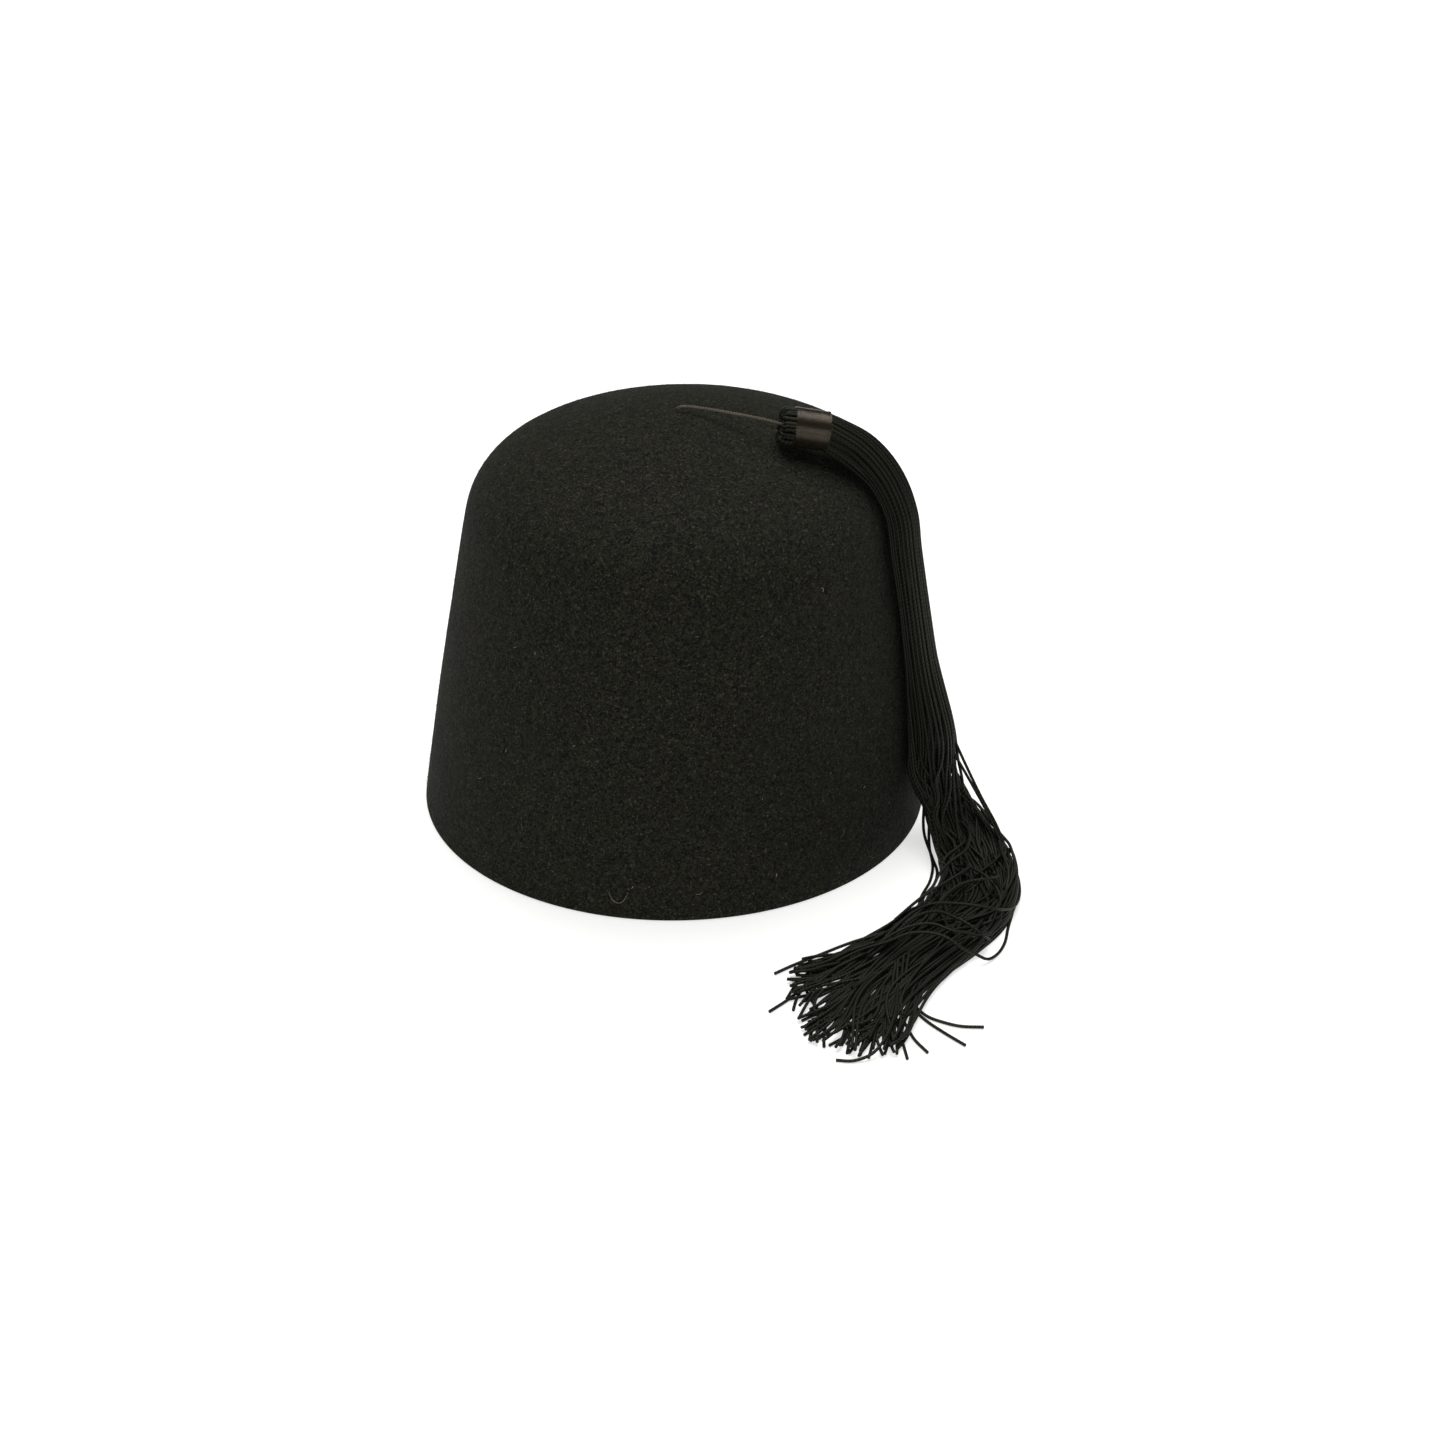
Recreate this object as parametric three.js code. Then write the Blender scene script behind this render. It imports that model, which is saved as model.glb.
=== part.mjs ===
// A felt fez hat with a cord tassel, standing on its rim. Millimetres, +Z up.
// The origin is the middle of the head opening, in the plane that the rim rests on.
// The tassel leaves the crown on the +X side and its loose end lies on the surface towards -Y.
import * as THREE from 'three';

const gap = 0.3; // left between pieces that touch on the real hat

// ---------------------------------------------------------------- felt cap
const wall = 2.5; // blocked wool felt
const rimRadius = 95; // mean outer radius at the head opening
const crownHeight = 154.5; // rim to the middle of the crown
const domeEdge = { radius: 64.6, drop: 15.1 }; // where the dome turns into the shoulder
const shoulder = { radius: 78.1, height: 132.5 }; // the corner that the shoulder rounds off
const sideTop = { radius: 80.4, height: 117.4 }; // where the shoulder turns into the side
const sideBelly = { radius: 89.0, height: 58.8 }; // steers the slight outward belly of the side
const ovalness = 0.035; // the opening is this much longer one way and shorter the other
const ovalAxis = THREE.MathUtils.degToRad(45);
const dent = { depth: 3.4, azimuth: -15, spread: 17, run: 92, reach: 22 }; // pressed in by the tassel
const feltSides = 64;

// The outline in the radius-height plane, from the middle of the crown to the rim.
const domeCurve = new THREE.QuadraticBezierCurve(
  new THREE.Vector2(0, crownHeight),
  new THREE.Vector2(domeEdge.radius / 2, crownHeight),
  new THREE.Vector2(domeEdge.radius, crownHeight - domeEdge.drop),
);
const shoulderCurve = new THREE.QuadraticBezierCurve(
  domeCurve.v2,
  new THREE.Vector2(shoulder.radius, shoulder.height),
  new THREE.Vector2(sideTop.radius, sideTop.height),
);
const sideCurve = new THREE.QuadraticBezierCurve(
  shoulderCurve.v2,
  new THREE.Vector2(sideBelly.radius, sideBelly.height),
  new THREE.Vector2(rimRadius, 0),
);
const outline = new THREE.CurvePath();
outline.curves.push(domeCurve, shoulderCurve, sideCurve);
const outlineLength = outline.getLength();

// A point of the felt: run is the way along the outline from the middle of the crown, and inset is how far
// inside the outer face the point lies.
function feltPoint(run, azimuth, inset) {
  const share = Math.min(Math.max(run / outlineLength, 0), 1);
  const step = 0.002;
  const here = outline.getPoint(share);
  const before = outline.getPoint(Math.max(share - step, 0));
  const after = outline.getPoint(Math.min(share + step, 1));
  const along = after.sub(before).normalize();
  const turn = THREE.MathUtils.radToDeg(azimuth) - dent.azimuth;
  const bearing = (turn + 540) % 360 - 180;
  const pressed = dent.depth * Math.exp(-((bearing / dent.spread) ** 2) - ((run - dent.run) / dent.reach) ** 2);
  const inwards = inset + pressed;
  const radius = Math.max(here.x + along.y * inwards, 0);
  const height = share === 1 ? 0 : here.y - along.x * inwards;
  const oval = 1 + ovalness * Math.cos(2 * (azimuth - ovalAxis));
  return new THREE.Vector3(radius * oval * Math.cos(azimuth), radius * oval * Math.sin(azimuth), height);
}

function feltNormal(run, azimuth) {
  const step = 0.5;
  const turnStep = step / rimRadius;
  const down = feltPoint(run + step, azimuth, 0).sub(feltPoint(run - step, azimuth, 0));
  const across = feltPoint(run, azimuth + turnStep, 0).sub(feltPoint(run, azimuth - turnStep, 0));
  return down.cross(across).normalize();
}

// A closed skin over rings of equal length, with a single point closing each end.
function skin(firstPoint, rings, lastPoint) {
  const sides = rings[0].length;
  const corners = [firstPoint, ...rings.flat(), lastPoint];
  const lastIndex = corners.length - 1;
  const triangles = [];
  for (let i = 0; i < sides; i += 1) {
    const next = (i + 1) % sides;
    triangles.push(0, 1 + i, 1 + next);
    for (let ring = 0; ring < rings.length - 1; ring += 1) {
      const upper = 1 + ring * sides;
      const lower = upper + sides;
      triangles.push(upper + i, lower + i, lower + next);
      triangles.push(upper + i, lower + next, upper + next);
    }
    const edge = lastIndex - sides;
    triangles.push(lastIndex, edge + next, edge + i);
  }
  const geometry = new THREE.BufferGeometry();
  geometry.setAttribute('position', new THREE.Float32BufferAttribute(corners.flatMap((p) => p.toArray()), 3));
  geometry.setIndex(triangles);
  geometry.computeVertexNormals();
  return geometry;
}

function feltGeometry() {
  const domeEnd = domeCurve.getLength();
  const shoulderEnd = domeEnd + shoulderCurve.getLength();
  const stretches = [
    { from: 0, to: domeEnd, steps: 6 },
    { from: domeEnd, to: shoulderEnd, steps: 6 },
    { from: shoulderEnd, to: outlineLength, steps: 7 },
  ];
  const runs = stretches.flatMap(({ from, to, steps }) => (
    Array.from({ length: steps }, (_, i) => THREE.MathUtils.lerp(from, to, (i + 1) / steps))
  ));
  const ring = (run, inset) => Array.from({ length: feltSides }, (_, i) => (
    feltPoint(run, (i / feltSides) * 2 * Math.PI, inset)
  ));
  const outer = runs.map((run) => ring(run, 0));
  const inner = runs.map((run) => ring(run, wall)).reverse();
  const outerTop = new THREE.Vector3(0, 0, crownHeight);
  const innerTop = new THREE.Vector3(0, 0, crownHeight - wall);
  return skin(outerTop, [...outer, ...inner], innerTop);
}

// ---------------------------------------------------------------- tassel head
const head = new THREE.Vector3(35.85, -13.2, 157.9); // middle of the band's upper end
const headAxis = new THREE.Vector3(14.1, 1.6, -2.2).normalize(); // the way the cords leave the band
const band = { length: 12.8, radius: 7.2, bevel: 0.5 };
// The folds stand 5.4 high round a hollow; crest is where their tops lie, from inner to outer edge.
const loops = {
  length: 5.4,
  radius: 6.9,
  crest: [3.2, 4.8],
  crestRound: 0.3,
  outerRound: { width: 0.8, height: 1 },
  bulge: 2.6,
  hollow: 2.1,
  hollowDepth: 3.4,
  hollowRound: 0.4,
};
const headSides = 32;

function alongHead(distance) {
  return head.clone().addScaledVector(headAxis, distance);
}

// Turns an outline of [radius, distance] pairs about the head's axis.
function turnedOnHead(pairs) {
  const points = pairs.map(([radius, distance]) => new THREE.Vector2(radius, distance));
  const geometry = new THREE.LatheGeometry(points, headSides);
  const turn = new THREE.Quaternion().setFromUnitVectors(new THREE.Vector3(0, 1, 0), headAxis);
  return geometry.applyQuaternion(turn);
}

function bandGeometry() {
  const { length, radius, bevel } = band;
  return turnedOnHead([
    [0, 0],
    [radius - bevel, 0],
    [radius, bevel],
    [radius, length - bevel],
    [radius - bevel, length],
    [0, length],
  ]);
}

// The folded cord ends stand in a ring round a hollow that the stem goes into.
function loopsGeometry() {
  const floor = loops.hollowDepth - loops.length;
  const [innerCrest, outerCrest] = loops.crest;
  return turnedOnHead([
    [0, floor],
    [loops.hollow, floor - loops.hollowRound],
    [innerCrest, -loops.length + loops.crestRound],
    [outerCrest, -loops.length],
    [loops.radius - loops.outerRound.width, -loops.length + loops.outerRound.height],
    [loops.radius, -loops.length + loops.bulge],
    [loops.radius, -gap],
    [0, -gap],
  ]);
}

// ---------------------------------------------------------------- stem
const stemDiameter = 1.1;
const stemSides = 8;
const stemSteps = 24;
// From the hole in the crown over to the hollow of the loops.
const stemRoute = [
  [-5.5, 5.5, 154.75],
  [-4.5, 4.9, 155.7],
  [-2.4, 3.75, 156.5],
  [1.6, 1.6, 157.2],
  [7.5, -1.6, 157.9],
  [14.5, -5.5, 158.6],
  [21, -9.1, 159.2],
  [26.5, -12.1, 159.5],
  [30.8, -13.7, 159.1],
].map((point) => new THREE.Vector3(...point));

function stemGeometry() {
  const section = new THREE.Shape();
  for (let i = 0; i < stemSides; i += 1) {
    const angle = (i / stemSides) * 2 * Math.PI;
    const corner = [Math.cos(angle) * (stemDiameter / 2), Math.sin(angle) * (stemDiameter / 2)];
    if (i === 0) section.moveTo(...corner);
    else section.lineTo(...corner);
  }
  const hollowFloor = loops.hollowDepth - loops.length - loops.hollowRound;
  const route = [...stemRoute, alongHead(hollowFloor)];
  return new THREE.ExtrudeGeometry(section, {
    steps: stemSteps,
    extrudePath: new THREE.CatmullRomCurve3(route, false, 'centripetal'),
  });
}

// ---------------------------------------------------------------- skirt
// The hanging cords as one body. Each row is a cross-section: how wide and how thick the bundle is there.
// Rows on the felt say how far down the outline and at which azimuth they lie, and how high off the felt.
const skirtOnFelt = [
  { run: 61, azimuth: -10.6, width: 15.4, thickness: 12.8, lift: 2.4 },
  { run: 72, azimuth: -11.4, width: 15.8, thickness: 11.4, lift: 1.2 },
  { run: 84, azimuth: -13.6, width: 16, thickness: 10.6, lift: 1 },
  { run: 98, azimuth: -15.6, width: 16.8, thickness: 10.4, lift: 1 },
  { run: 118, azimuth: -16.2, width: 17.4, thickness: 9.6, lift: 1 },
  { run: 142, azimuth: -15.8, width: 18, thickness: 10.4, lift: 1.4 },
  { run: 166, azimuth: -15.6, width: 20.4, thickness: 14, lift: 2.6 },
  { run: 186, azimuth: -15.4, width: 25, thickness: 15.6, lift: 4.2 },
];
// Rows beyond the rim give the middle of the bundle, and lean is how far its flat side has turned from
// facing the felt (0) to facing the surface (1).
const skirtOnSurface = [
  { at: [104.4, -34, 15], width: 29.5, thickness: 13, lean: 0.6 },
  { at: [111, -50, 7.4], width: 29, thickness: 11.6, lean: 1 },
  { at: [112, -68, 6], width: 28.5, thickness: 11.2, lean: 1 },
  { at: [106.5, -84.5, 5.8], width: 30, thickness: 10.8, lean: 1 },
  { at: [95, -99.5, 5.5], width: 33, thickness: 10, lean: 1 },
  { at: [84, -113.5, 5.2], width: 34, thickness: 9.6, lean: 1 },
  { at: [74.5, -128, 4.6], width: 37, thickness: 8, lean: 1 },
  { at: [67.5, -143, 3.7], width: 42, thickness: 6, lean: 1 },
  { at: [61.5, -157.5, 2.7], width: 42, thickness: 4, lean: 1 },
];
const skirtSides = 20;
const skirtSteps = 40;

function skirtStations() {
  const up = new THREE.Vector3(0, 0, 1);
  const start = alongHead(band.length + gap);
  const first = { at: start, width: 2 * (band.radius - 0.4), thickness: 2 * (band.radius - 0.4), facing: up };
  const onFelt = skirtOnFelt.map(({ run, azimuth, width, thickness, lift }) => {
    const angle = THREE.MathUtils.degToRad(azimuth);
    const facing = feltNormal(run, angle);
    const at = feltPoint(run, angle, 0).addScaledVector(facing, thickness / 2 + lift);
    return { at, width, thickness, facing };
  });
  const offFelt = skirtOnSurface.map(({ at, width, thickness, lean }) => {
    const outwards = new THREE.Vector3(at[0], at[1], 0).normalize();
    return { at: new THREE.Vector3(...at), width, thickness, facing: outwards.lerp(up, lean).normalize() };
  });
  return [first, ...onFelt, ...offFelt];
}

function skirtGeometry() {
  const stations = skirtStations();
  const route = new THREE.CatmullRomCurve3(stations.map(({ at }) => at), false, 'centripetal');
  const rings = [];
  for (let step = 0; step <= skirtSteps; step += 1) {
    const place = (step / skirtSteps) * (stations.length - 1);
    const row = Math.min(Math.floor(place), stations.length - 2);
    const share = place - row;
    const [a, b] = [stations[row], stations[row + 1]];
    const along = step === 0 ? headAxis : route.getTangent(step / skirtSteps);
    const across = along.clone().cross(a.facing.clone().lerp(b.facing, share)).normalize();
    const facing = across.clone().cross(along);
    const halfWidth = THREE.MathUtils.lerp(a.width, b.width, share) / 2;
    const halfThickness = THREE.MathUtils.lerp(a.thickness, b.thickness, share) / 2;
    const middle = route.getPoint(step / skirtSteps);
    rings.push(Array.from({ length: skirtSides }, (_, i) => {
      const angle = (i / skirtSides) * 2 * Math.PI;
      return middle.clone()
        .addScaledVector(across, Math.cos(angle) * halfWidth)
        .addScaledVector(facing, Math.sin(angle) * halfThickness);
    }));
  }
  return skin(route.getPoint(0), rings, route.getPoint(1));
}

// ---------------------------------------------------------------- assembly
const blackFelt = new THREE.MeshStandardMaterial({ color: 0x1d1d1a, roughness: 0.95, metalness: 0 });
const blackSatin = new THREE.MeshStandardMaterial({ color: 0x24231f, roughness: 0.42, metalness: 0 });
const blackCord = new THREE.MeshStandardMaterial({ color: 0x1a1a17, roughness: 0.62, metalness: 0 });

const group = new THREE.Group();

function add(name, geometry, material) {
  const mesh = new THREE.Mesh(geometry, material);
  mesh.name = name;
  group.add(mesh);
  return mesh;
}

add('felt_crown', feltGeometry(), blackFelt);
add('stem_cord', stemGeometry(), blackCord);
add('tassel_loops', loopsGeometry(), blackCord).position.copy(head);
add('tassel_band', bandGeometry(), blackSatin).position.copy(head);
add('tassel_skirt', skirtGeometry(), blackCord);

export default group;
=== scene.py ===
# A black felt fez hat with a cord tassel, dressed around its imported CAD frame. Metres, +Z up.
import math

import bmesh
import bpy
import numpy as np
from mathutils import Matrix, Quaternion, Vector, noise
from mathutils.bvhtree import BVHTree


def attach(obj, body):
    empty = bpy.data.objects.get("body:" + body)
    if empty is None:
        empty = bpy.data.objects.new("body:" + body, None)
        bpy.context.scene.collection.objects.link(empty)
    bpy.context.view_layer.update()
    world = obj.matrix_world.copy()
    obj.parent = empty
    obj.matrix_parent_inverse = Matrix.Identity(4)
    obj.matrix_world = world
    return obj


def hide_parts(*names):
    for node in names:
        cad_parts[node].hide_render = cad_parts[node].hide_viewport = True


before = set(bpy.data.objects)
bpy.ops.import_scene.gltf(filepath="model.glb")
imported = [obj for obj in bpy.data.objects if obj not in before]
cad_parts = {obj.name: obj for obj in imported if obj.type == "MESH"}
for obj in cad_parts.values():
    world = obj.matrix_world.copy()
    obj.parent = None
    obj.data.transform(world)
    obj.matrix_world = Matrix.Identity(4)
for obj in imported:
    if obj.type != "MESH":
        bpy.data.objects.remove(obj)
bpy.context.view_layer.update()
mm = 0.001
print("frame loaded")

# camera: slightly above the hat, a little over a metre away, tipped a few degrees
lens = {
    "focal": 73.64,  # for a 36 mm wide sensor
    "place": (0.0, -0.97442, 0.58040),
    "aim": (0.01557, 0.0, 0.02966),
    "tip": math.radians(2.87),
}
cameraData = bpy.data.cameras.new("stillCamera")
cameraData.lens = lens["focal"]
cameraData.sensor_width = 36
cameraData.clip_start = 0.05
stillCamera = bpy.data.objects.new("stillCamera", cameraData)
bpy.context.scene.collection.objects.link(stillCamera)
view = Vector(lens["aim"]) - Vector(lens["place"])
stillCamera.rotation_mode = "QUATERNION"
stillCamera.location = lens["place"]
stillCamera.rotation_quaternion = view.to_track_quat("-Z", "Y") @ Quaternion((0, 0, 1), lens["tip"])
bpy.context.scene.camera = stillCamera


# small helpers
def unit(rows):
    return rows / np.maximum(np.linalg.norm(rows, axis=-1, keepdims=True), 1e-12)


def curveThrough(points, perSpan=24):  # one smooth curve through every point, spaced by their distances
    points = np.asarray(points, float)
    ends = np.vstack([2 * points[0] - points[1], points, 2 * points[-1] - points[-2]])
    knots = np.concatenate([[0], np.cumsum(np.linalg.norm(np.diff(ends, axis=0), axis=1) ** 0.5)])
    spans = []
    for i in range(1, len(ends) - 2):
        t0, t1, t2, t3 = knots[i - 1 : i + 3]
        t = np.linspace(t1, t2, perSpan, endpoint=False)[:, None]
        a1 = ((t1 - t) * ends[i - 1] + (t - t0) * ends[i]) / (t1 - t0)
        a2 = ((t2 - t) * ends[i] + (t - t1) * ends[i + 1]) / (t2 - t1)
        a3 = ((t3 - t) * ends[i + 1] + (t - t2) * ends[i + 2]) / (t3 - t2)
        b1 = ((t2 - t) * a1 + (t - t0) * a2) / (t2 - t0)
        b2 = ((t3 - t) * a2 + (t - t1) * a3) / (t3 - t1)
        spans.append(((t2 - t) * b1 + (t - t1) * b2) / (t2 - t1))
    return np.vstack([*spans, points[-1:]])


def wayAlong(line):
    return np.concatenate([[0], np.cumsum(np.linalg.norm(np.diff(line, axis=0), axis=1))])


def evenly(line, count):  # the same line as count points an equal way apart
    way = wayAlong(line)
    at = np.linspace(0, way[-1], count)
    return np.stack([np.interp(at, way, line[:, k]) for k in range(line.shape[1])], axis=1)


def framesAlong(lines):  # a side and an across direction at each point, carried along without twist
    along = unit(np.gradient(lines, axis=1))
    side = np.empty_like(lines)
    spare = np.where(np.abs(along[:, :1, 2:]) < 0.9, [[[0, 0, 1.0]]], [[[1.0, 0, 0]]])[:, 0]
    for k in range(lines.shape[1]):
        spare = unit(spare - (spare * along[:, k]).sum(1, keepdims=True) * along[:, k])
        side[:, k] = spare
    return along, side, np.cross(along, side)


def newPiece(name, mesh):
    piece = bpy.data.objects.new(name, mesh)
    bpy.context.scene.collection.objects.link(piece)
    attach(piece, "root")
    return piece


# Tubes along many lines of equal point count, joined in one mesh. The UV map holds the share of the way
# round and the way along in metres, and the shade attribute is one number per tube.
def tubeMesh(name, lines, radius, sides, shades=None):
    lines = np.asarray(lines, float)
    if lines.ndim == 2:
        lines = lines[None]
    count, rows = lines.shape[:2]
    along, side, across = framesAlong(lines)
    radius = np.broadcast_to(np.asarray(radius, float), (count, rows))
    turn = np.linspace(0, 2 * math.pi, sides, endpoint=False)
    rings = (
        lines[:, :, None]
        + (radius[:, :, None] * np.cos(turn))[..., None] * side[:, :, None]
        + (radius[:, :, None] * np.sin(turn))[..., None] * across[:, :, None]
    )
    index = np.arange(count * rows * sides).reshape(count, rows, sides)
    nextSide = np.roll(index, -1, axis=2)
    quads = np.stack([index[:, :-1], nextSide[:, :-1], nextSide[:, 1:], index[:, 1:]], axis=-1).reshape(-1, 4)
    faces = quads.tolist() + index[:, 0, ::-1].tolist() + index[:, -1].tolist()  # the last two are the caps
    mesh = bpy.data.meshes.new(name)
    mesh.from_pydata(rings.reshape(-1, 3).tolist(), [], faces)
    way = np.concatenate(
        [np.zeros((count, 1)), np.cumsum(np.linalg.norm(np.diff(lines, axis=1), axis=2), axis=1)], axis=1
    )
    low = np.broadcast_to(way[:, :-1, None], (count, rows - 1, sides))
    high = np.broadcast_to(way[:, 1:, None], (count, rows - 1, sides))
    left = np.broadcast_to(np.arange(sides) / sides, (count, rows - 1, sides))
    right = left + 1 / sides
    uv = np.stack([left, low, right, low, right, high, left, high], axis=-1).reshape(-1)
    uv = np.concatenate([uv, np.zeros(2 * len(mesh.loops) - len(uv))])
    mesh.uv_layers.new(name="cordUv").data.foreach_set("uv", uv)
    shade = mesh.attributes.new("shade", "FLOAT", "POINT")
    shades = np.full(count, 0.5) if shades is None else np.asarray(shades, float)
    shade.data.foreach_set("value", np.repeat(shades, rows * sides))
    smooth = np.concatenate([np.ones(len(quads), bool), np.zeros(len(faces) - len(quads), bool)])
    mesh.polygons.foreach_set("use_smooth", smooth)
    mesh.validate()
    mesh.update()
    return mesh


def linearColour(code):  # an sRGB hex colour as linear RGBA
    parts = [int(code[i : i + 2], 16) / 255 for i in (1, 3, 5)]
    return (*(p / 12.92 if p <= 0.04045 else ((p + 0.055) / 1.055) ** 2.4 for p in parts), 1)


mixFactor, mixA, mixB = 0, 6, 7  # sockets of a Mix node that mixes colours


# adds a shader node; its sockets take a link, a number or a hex colour
def addNode(tree, kind, sockets=None, **settings):
    node = tree.nodes.new("ShaderNode" + kind)
    for name, value in settings.items():
        setattr(node, name, value)
    for socket, value in (sockets or {}).items():
        if isinstance(value, bpy.types.NodeSocket):
            tree.links.new(value, node.inputs[socket])
        else:
            node.inputs[socket].default_value = linearColour(value) if isinstance(value, str) else value
    return node


def newMaterial(name, constants):
    material = bpy.data.materials.new(name)
    material.use_nodes = True
    tree = material.node_tree
    tree.nodes.clear()
    shader = addNode(tree, "BsdfPrincipled", constants)
    addNode(tree, "OutputMaterial", {"Surface": shader.outputs[0]})
    return material, tree, shader


# the felt cap
felt = {
    "wall": 2.5 * mm,
    "rimRadius": 95 * mm,
    "height": 154.5 * mm,
    "domeRadius": 64.6 * mm,
    "domeDrop": 15.1 * mm,
    "shoulder": (78.1 * mm, 132.5 * mm),
    "sideTop": (80.4 * mm, 117.4 * mm),
    "belly": (89.0 * mm, 58.8 * mm),
    "ovalness": 0.035,
    "ovalAxis": math.radians(45),
    "dentDepth": 3.4 * mm,  # pressed in by the tassel
    "dentAzimuth": math.radians(-15),
    "dentSpread": math.radians(17),
    "dentRun": 92 * mm,
    "dentReach": 22 * mm,
    "rows": 54,
    "turns": 144,
    "rimRound": 0.6 * mm,
    "rimRows": (2.2 * mm, 1.1 * mm),  # the last rows above the rim are closer
    "stemHole": (-5.5 * mm, 5.5 * mm),
    "pucker": 0.9 * mm,
    "puckerReach": 2.2 * mm,
    "swell": 0.22 * mm,  # soft unevenness left by the block and the steam
    "swellWidth": 34 * mm,
    "flatRim": 8 * mm,  # the swells fade out below this height, so the rim rests flat
}


def quadratic(a, b, c, count=60):
    t = np.linspace(0, 1, count)[:, None]
    return (1 - t) ** 2 * np.array(a) + 2 * t * (1 - t) * np.array(b) + t**2 * np.array(c)


# radius and height down the outer face, from the middle of the crown to the rim
domeEdge = (felt["domeRadius"], felt["height"] - felt["domeDrop"])
outline = np.vstack(
    [
        quadratic((0, felt["height"]), (felt["domeRadius"] / 2, felt["height"]), domeEdge),
        quadratic(domeEdge, felt["shoulder"], felt["sideTop"])[1:],
        quadratic(felt["sideTop"], felt["belly"], (felt["rimRadius"], 0))[1:],
    ]
)
outlineWay = wayAlong(outline)
outlineIn = np.gradient(outline, axis=0)
outlineIn = unit(np.stack([outlineIn[:, 1], -outlineIn[:, 0]], axis=1))  # towards the hollow


def dentAt(run, azimuth):  # how far the tassel has pressed the felt in
    bearing = (azimuth - felt["dentAzimuth"] + math.pi) % (2 * math.pi) - math.pi
    sideways = (bearing / felt["dentSpread"]) ** 2
    downwards = ((run - felt["dentRun"]) / felt["dentReach"]) ** 2
    return felt["dentDepth"] * np.exp(-sideways - downwards)


def ovalAt(azimuth):
    return 1 + felt["ovalness"] * np.cos(2 * (azimuth - felt["ovalAxis"]))


def feltPoints(run, azimuth):  # places on the outer face
    run, azimuth = np.broadcast_arrays(np.asarray(run, float), np.asarray(azimuth, float))
    dent = dentAt(run, azimuth)
    radius = np.interp(run, outlineWay, outline[:, 0]) + np.interp(run, outlineWay, outlineIn[:, 0]) * dent
    height = np.interp(run, outlineWay, outline[:, 1]) + np.interp(run, outlineWay, outlineIn[:, 1]) * dent
    radius = np.maximum(radius, 0) * ovalAt(azimuth)
    return np.stack([radius * np.cos(azimuth), radius * np.sin(azimuth), height], axis=-1)


def feltNormals(run, azimuth):
    step = 0.5 * mm
    turnStep = step / felt["rimRadius"]
    down = feltPoints(run + step, azimuth) - feltPoints(run - step, azimuth)
    across = feltPoints(run, azimuth + turnStep) - feltPoints(run, azimuth - turnStep)
    return unit(np.cross(down, across))


def buildFelt():
    bm = bmesh.new()
    rim = outlineWay[-1]
    evenRuns = np.linspace(0, rim - felt["rimRows"][0], felt["rows"])
    runs = np.concatenate([evenRuns, [rim - felt["rimRows"][1], rim - felt["rimRound"]]])
    radii = np.interp(runs, outlineWay, outline[:, 0])
    heights = np.interp(runs, outlineWay, outline[:, 1])
    inX = np.interp(runs, outlineWay, outlineIn[:, 0]) * felt["wall"]
    inZ = np.interp(runs, outlineWay, outlineIn[:, 1]) * felt["wall"]
    profile = list(zip(radii, heights))
    soft = felt["rimRound"]
    profile += [
        (felt["rimRadius"] - 0.25 * soft, 0.25 * soft),
        (felt["rimRadius"] - soft, 0),
        (felt["rimRadius"] - felt["wall"] / 2, 0),
        (felt["rimRadius"] - felt["wall"] + soft, 0),
        (felt["rimRadius"] - felt["wall"] + 0.25 * soft, 0.25 * soft),
    ]
    profile += [(max(r, 0), z) for r, z in zip(radii + inX, heights + inZ)][::-1]
    verts = [bm.verts.new((r, 0, z)) for r, z in profile]
    edges = [bm.edges.new(pair) for pair in zip(verts, verts[1:])]
    bmesh.ops.spin(
        bm,
        geom=verts + edges,
        cent=(0, 0, 0),
        axis=(0, 0, 1),
        dvec=(0, 0, 0),
        angle=2 * math.pi,
        steps=felt["turns"],
        use_merge=True,
    )
    bmesh.ops.remove_doubles(bm, verts=bm.verts, dist=0.01 * mm)
    bmesh.ops.recalc_face_normals(bm, faces=bm.faces)
    # oval opening, the dent under the tassel, the pucker round the stem and the unevenness of blocked felt
    places = np.array([v.co for v in bm.verts])
    radius = np.hypot(places[:, 0], places[:, 1])
    azimuth = np.arctan2(places[:, 1], places[:, 0])
    away = (radius[:, None] - outline[None, :, 0]) ** 2 + (places[:, 2][:, None] - outline[None, :, 1]) ** 2
    nearest = away.argmin(axis=1)
    run = outlineWay[nearest]
    swell = np.array([noise.noise(Vector(p) / felt["swellWidth"]) for p in places]) * felt["swell"]
    swell += np.array([noise.noise(Vector(p) / (felt["swellWidth"] / 4)) for p in places]) * felt["swell"] / 3
    swell *= np.clip(places[:, 2] / felt["flatRim"], 0, 1)
    inwards = dentAt(run, azimuth) + swell
    radius = radius + outlineIn[nearest, 0] * inwards
    height = places[:, 2] + outlineIn[nearest, 1] * inwards
    x, y = radius * ovalAt(azimuth) * np.cos(azimuth), radius * ovalAt(azimuth) * np.sin(azimuth)
    fromHole = np.hypot(x - felt["stemHole"][0], y - felt["stemHole"][1])
    onCrown = places[:, 2] > felt["sideTop"][1]
    height = height - felt["pucker"] * np.exp(-((fromHole / felt["puckerReach"]) ** 2)) * onCrown
    for v, place in zip(bm.verts, np.stack([x, y, height], axis=1)):
        v.co = place
    mesh = bpy.data.meshes.new("felt_cap")
    bm.to_mesh(mesh)
    bm.free()
    mesh.polygons.foreach_set("use_smooth", np.ones(len(mesh.polygons), bool))
    piece = newPiece("felt_cap", mesh)
    fine = piece.modifiers.new("fine", "SUBSURF")
    fine.levels = fine.render_levels = 1
    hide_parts("felt_crown")
    return piece


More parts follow.
